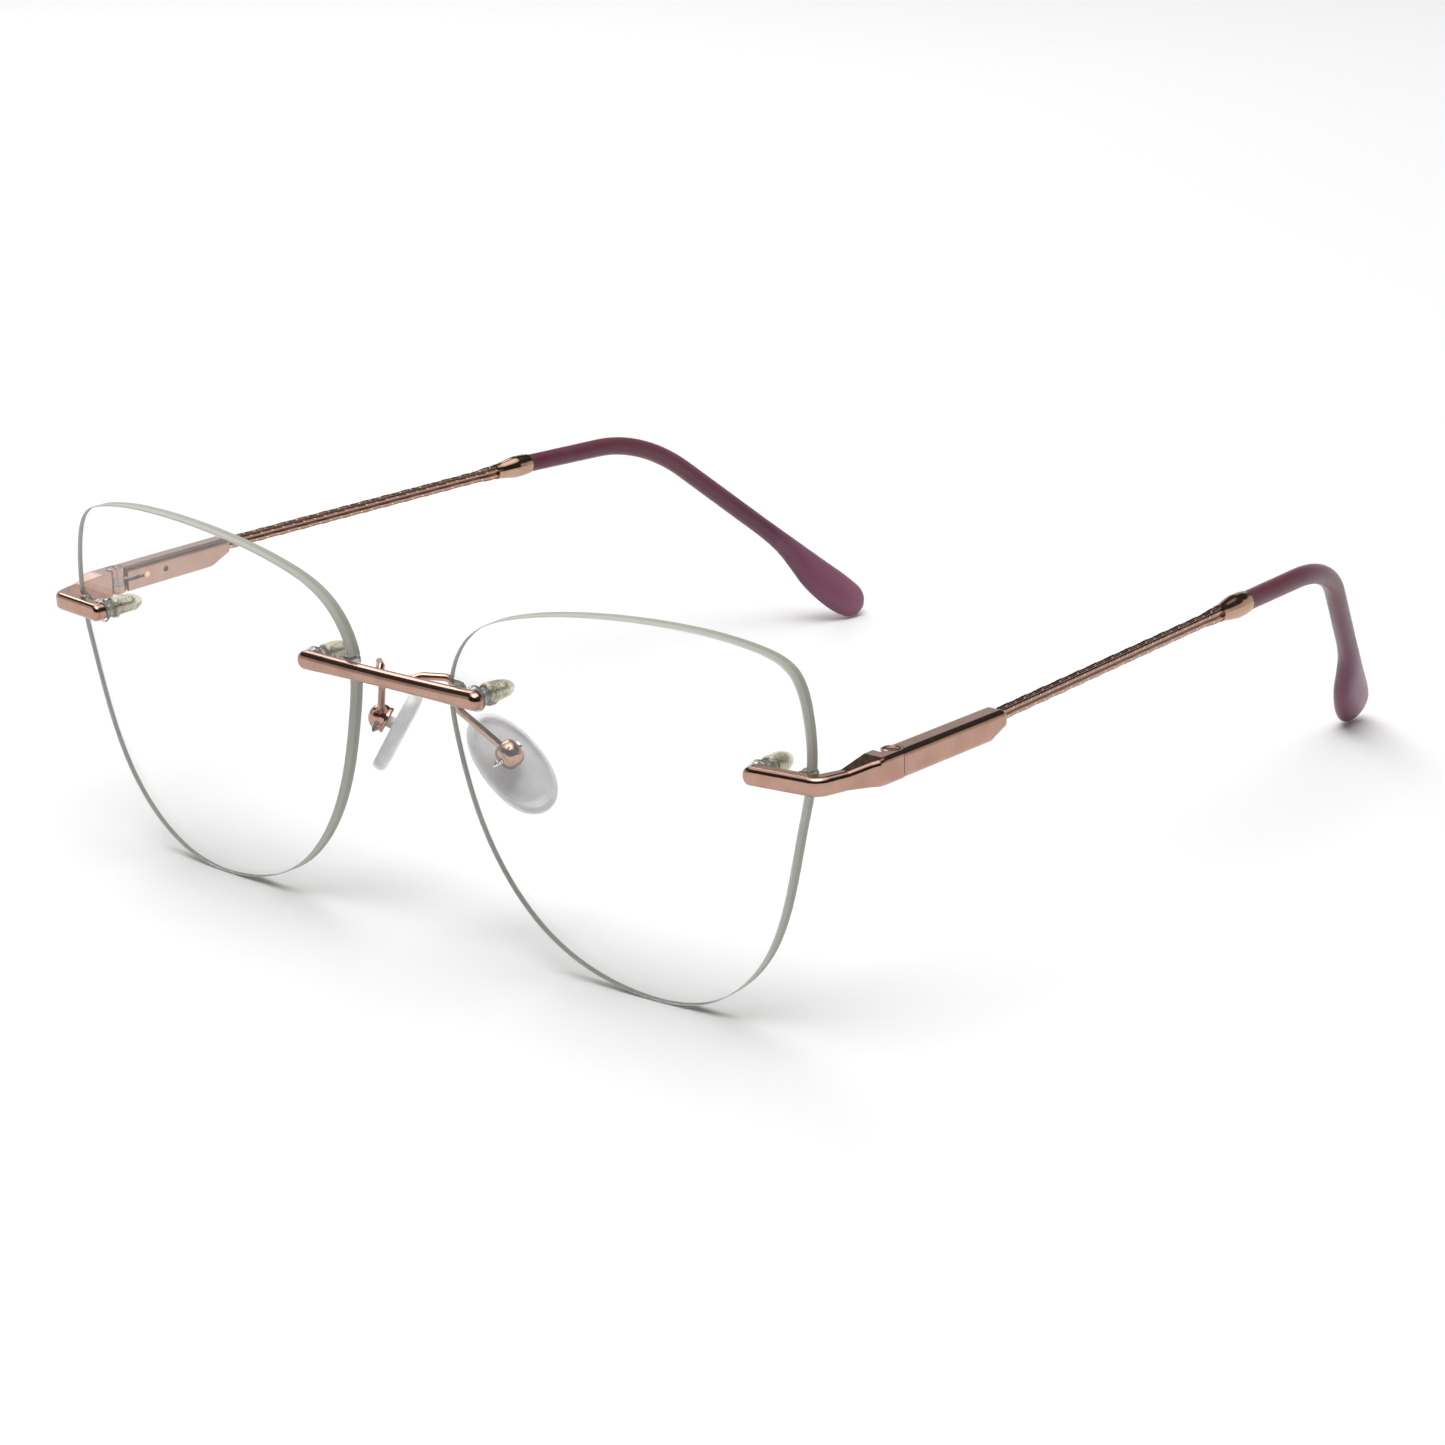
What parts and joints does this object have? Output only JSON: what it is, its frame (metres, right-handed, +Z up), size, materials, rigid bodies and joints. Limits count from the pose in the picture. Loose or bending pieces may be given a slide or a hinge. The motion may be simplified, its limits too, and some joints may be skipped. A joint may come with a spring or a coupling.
{
  "type": "rimless eyeglasses",
  "caption": "Rimless eyeglasses with butterfly lenses, a straight bridge bar, clear nose pads on wire arms, and textured metal temples on sprung hinges.",
  "frame": {"origin": "centre of the footprint: on the mirror plane, level with the lowest lens edges and temple tips, midway from front to back", "axes": "+X to the wearer's left, +Y from the lenses back along the temples, +Z up; the glasses stand on the lens edges and temple tips"},
  "size_m": [0.1382, 0.1457, 0.0481],
  "materials": {
    "lens": "polished clear, frosted rim",
    "rose_gold": "polished plating",
    "pale_gold": "polished plating",
    "brass": "turned",
    "steel": "bright",
    "clear_plastic": "clear, slightly olive",
    "silicone": "clear silicone",
    "core_metal": "plated wire seen through the sleeve",
    "mauve_tip": "translucent satin"
  },
  "bodies": {
    "front": {"left_lens": "lens", "right_lens": "lens", "bridge_bar": "rose_gold", "left_endpiece": "rose_gold", "right_endpiece": "rose_gold", "left_pad_arm": "rose_gold", "right_pad_arm": "rose_gold", "left_pad_box": "rose_gold", "right_pad_box": "rose_gold", "pad_screws": "steel", "lens_studs": "steel", "lens_bushes": "clear_plastic", "lens_caps": "clear_plastic", "notch_pins": "steel", "notch_sleeves": "clear_plastic"},
    "left_hinge_pin": {"left_hinge_screw": "steel"},
    "left_hinge_eye": {"left_hinge_slider": "steel", "left_slider_nut": "steel"},
    "left_temple": {"left_temple_block": "rose_gold", "left_slide_bush": "brass", "left_slide_spring": "steel", "left_lock_pin": "brass", "left_temple_arm": "rose_gold", "left_ferrule": "pale_gold", "left_core_wire": "core_metal", "left_temple_tip": "mauve_tip"},
    "left_pad": {"left_nose_pad": "silicone"},
    "right_hinge_pin": {"right_hinge_screw": "steel"},
    "right_hinge_eye": {"right_hinge_slider": "steel", "right_slider_nut": "steel"},
    "right_temple": {"right_temple_block": "rose_gold", "right_slide_bush": "brass", "right_slide_spring": "steel", "right_lock_pin": "brass", "right_temple_arm": "rose_gold", "right_ferrule": "pale_gold", "right_core_wire": "core_metal", "right_temple_tip": "mauve_tip"},
    "right_pad": {"right_nose_pad": "silicone"}
  },
  "joints": [
    {"name": "left_hinge_flex", "type": "hinge", "parent": "front", "child": "left_hinge_pin", "pos_m": [0.0673, -0.05719, 0.0328], "axis": [0, 0, 1], "range_deg": [-10, 0], "stiffness_Nm_per_rad": 0.4},
    {"name": "left_temple_fold", "type": "hinge", "parent": "left_hinge_pin", "child": "left_hinge_eye", "pos_m": [0.0673, -0.05719, 0.0328], "axis": [0, 0, 1], "range_deg": [0, 83]},
    {"name": "left_spring_slide", "type": "slide", "parent": "left_hinge_eye", "child": "left_temple", "axis": [0, 1, 0], "range_m": [0, 0.00032]},
    {"name": "left_pad_tilt", "type": "hinge", "parent": "front", "child": "left_pad", "pos_m": [0.0119, -0.06259, 0.0249], "axis": [-0.2896, -0.8426, -0.4541], "range_deg": [-12, 12]},
    {"name": "right_hinge_flex", "type": "hinge", "parent": "front", "child": "right_hinge_pin", "pos_m": [-0.0673, -0.05719, 0.0328], "axis": [0, 0, 1], "range_deg": [0, 10], "stiffness_Nm_per_rad": 0.4},
    {"name": "right_temple_fold", "type": "hinge", "parent": "right_hinge_pin", "child": "right_hinge_eye", "pos_m": [-0.0673, -0.05719, 0.0328], "axis": [0, 0, 1], "range_deg": [-83, 0]},
    {"name": "right_spring_slide", "type": "slide", "parent": "right_hinge_eye", "child": "right_temple", "axis": [0, 1, 0], "range_m": [0, 0.00032]},
    {"name": "right_pad_tilt", "type": "hinge", "parent": "front", "child": "right_pad", "pos_m": [-0.0119, -0.06259, 0.0249], "axis": [0.2896, -0.8426, -0.4541], "range_deg": [-12, 12]}
  ],
  "couplings": [
    {"joint": "left_spring_slide", "follows": "left_hinge_flex", "m_per_rad": -0.0018},
    {"joint": "right_spring_slide", "follows": "right_hinge_flex", "m_per_rad": 0.0018}
  ]
}
